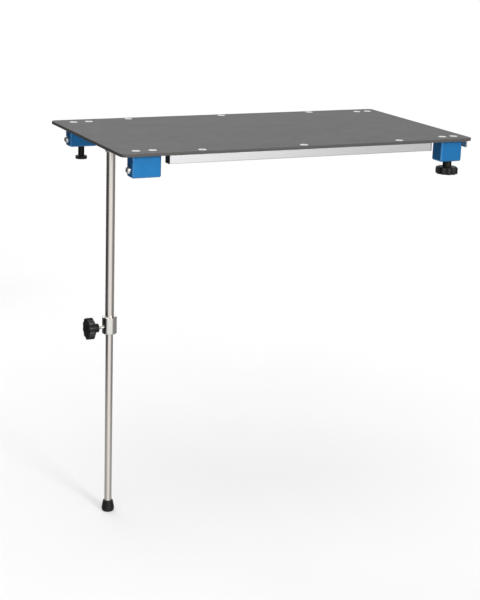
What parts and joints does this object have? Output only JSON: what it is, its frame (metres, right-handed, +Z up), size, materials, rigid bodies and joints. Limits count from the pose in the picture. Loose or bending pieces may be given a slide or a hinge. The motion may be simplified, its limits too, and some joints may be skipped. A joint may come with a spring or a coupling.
{
  "type": "hand surgery table",
  "caption": "Slim hand surgery table: a dark flat top that hooks onto a side rail at one end and stands on a clamped telescopic leg with a rubber foot at the other.",
  "frame": {"origin": "on the floor under the middle of the top", "axes": "+X along the top towards the rail end, +Y across it to the far side, +Z up"},
  "size_m": [0.735, 0.4, 0.765],
  "materials": {
    "laminate": "satin dark laminate",
    "natural_aluminium": "satin",
    "blue_anodised": "blue anodised",
    "stainless": "polished",
    "black_plastic": "moulded",
    "brass": "turned",
    "rubber": "matt"
  },
  "bodies": {
    "table": {"far_corner_block": "blue_anodised", "far_corner_screw_1": "stainless", "far_corner_screw_2": "stainless", "far_end_bolt": "stainless", "far_rail_block": "blue_anodised", "far_rail_screw_1": "stainless", "far_rail_screw_2": "stainless", "far_stiffener": "natural_aluminium", "far_stiffener_free_cap": "black_plastic", "far_stiffener_rail_cap": "black_plastic", "far_stiffener_screw_1": "stainless", "far_stiffener_screw_2": "stainless", "far_stiffener_screw_3": "stainless", "leg_collar": "stainless", "leg_socket": "stainless", "leg_socket_screw_1": "stainless", "leg_socket_screw_2": "stainless", "leg_socket_screw_3": "stainless", "leg_upper_tube": "stainless", "near_corner_block": "blue_anodised", "near_corner_screw_1": "stainless", "near_corner_screw_2": "stainless", "near_end_bolt": "stainless", "near_rail_block": "blue_anodised", "near_rail_screw_1": "stainless", "near_rail_screw_2": "stainless", "near_stiffener": "natural_aluminium", "near_stiffener_free_cap": "black_plastic", "near_stiffener_rail_cap": "black_plastic", "near_stiffener_screw_1": "stainless", "near_stiffener_screw_2": "stainless", "near_stiffener_screw_3": "stainless", "table_top": "laminate"},
    "lower_leg": {"leg_lower_tube": "stainless", "leg_end_plug": "black_plastic", "leg_foot": "rubber", "leg_foot_washer": "stainless"},
    "leg_clamp_pad": {"leg_clamp_pad": "brass"},
    "leg_clamp_knob": {"leg_clamp_stud": "stainless", "leg_clamp_knob": "black_plastic"},
    "thumbscrew_pad": {"far_thumbscrew_pad": "brass"},
    "thumbscrew": {"far_thumbscrew_stud": "stainless", "far_thumbscrew": "black_plastic"},
    "near_rail_hook": {"near_rail_hook": "stainless"},
    "near_rail_pad": {"near_rail_pad": "brass"},
    "near_rail_knob": {"near_rail_stud": "stainless", "near_rail_knob": "black_plastic"},
    "far_rail_hook": {"far_rail_hook": "stainless"},
    "far_rail_pad": {"far_rail_pad": "brass"},
    "far_rail_knob": {"far_rail_stud": "stainless", "far_rail_knob": "black_plastic"}
  },
  "joints": [
    {"name": "leg_extension", "type": "slide", "parent": "table", "child": "lower_leg", "axis": [0, 0, -1], "range_m": [-0.18, 0.12]},
    {"name": "leg_clamp_advance", "type": "slide", "parent": "table", "child": "leg_clamp_pad", "axis": [-1, 0, 0], "range_m": [0, 0.002]},
    {"name": "leg_clamp_turn", "type": "hinge", "parent": "leg_clamp_pad", "child": "leg_clamp_knob", "pos_m": [-0.3135, 0, 0.3875], "axis": [-1, 0, 0], "range_deg": [0, 730]},
    {"name": "thumbscrew_advance", "type": "slide", "parent": "table", "child": "thumbscrew_pad", "axis": [0, 0, -1], "range_m": [0, 0.0025]},
    {"name": "thumbscrew_turn", "type": "hinge", "parent": "thumbscrew_pad", "child": "thumbscrew", "pos_m": [-0.3135, 0.17, 0.7172], "axis": [0, 0, -1], "range_deg": [0, 730]},
    {"name": "near_hook_slide", "type": "slide", "parent": "table", "child": "near_rail_hook", "axis": [1, 0, 0], "range_m": [0, 0.004]},
    {"name": "near_rail_clamp_advance", "type": "slide", "parent": "table", "child": "near_rail_pad", "axis": [0, 0, -1], "range_m": [0, 0.0025]},
    {"name": "near_rail_clamp_turn", "type": "hinge", "parent": "near_rail_pad", "child": "near_rail_knob", "pos_m": [0.331, -0.17, 0.7172], "axis": [0, 0, -1], "range_deg": [0, 730]},
    {"name": "far_hook_slide", "type": "slide", "parent": "table", "child": "far_rail_hook", "axis": [1, 0, 0], "range_m": [0, 0.004]},
    {"name": "far_rail_clamp_advance", "type": "slide", "parent": "table", "child": "far_rail_pad", "axis": [0, 0, -1], "range_m": [0, 0.0025]},
    {"name": "far_rail_clamp_turn", "type": "hinge", "parent": "far_rail_pad", "child": "far_rail_knob", "pos_m": [0.331, 0.17, 0.7172], "axis": [0, 0, -1], "range_deg": [0, 730]}
  ],
  "couplings": [
    {"joint": "leg_clamp_turn", "follows": "leg_clamp_advance", "rad_per_m": 6283.2},
    {"joint": "thumbscrew_turn", "follows": "thumbscrew_advance", "rad_per_m": 5026.5},
    {"joint": "near_rail_clamp_turn", "follows": "near_rail_clamp_advance", "rad_per_m": 5026.5},
    {"joint": "far_rail_clamp_turn", "follows": "far_rail_clamp_advance", "rad_per_m": 5026.5}
  ]
}
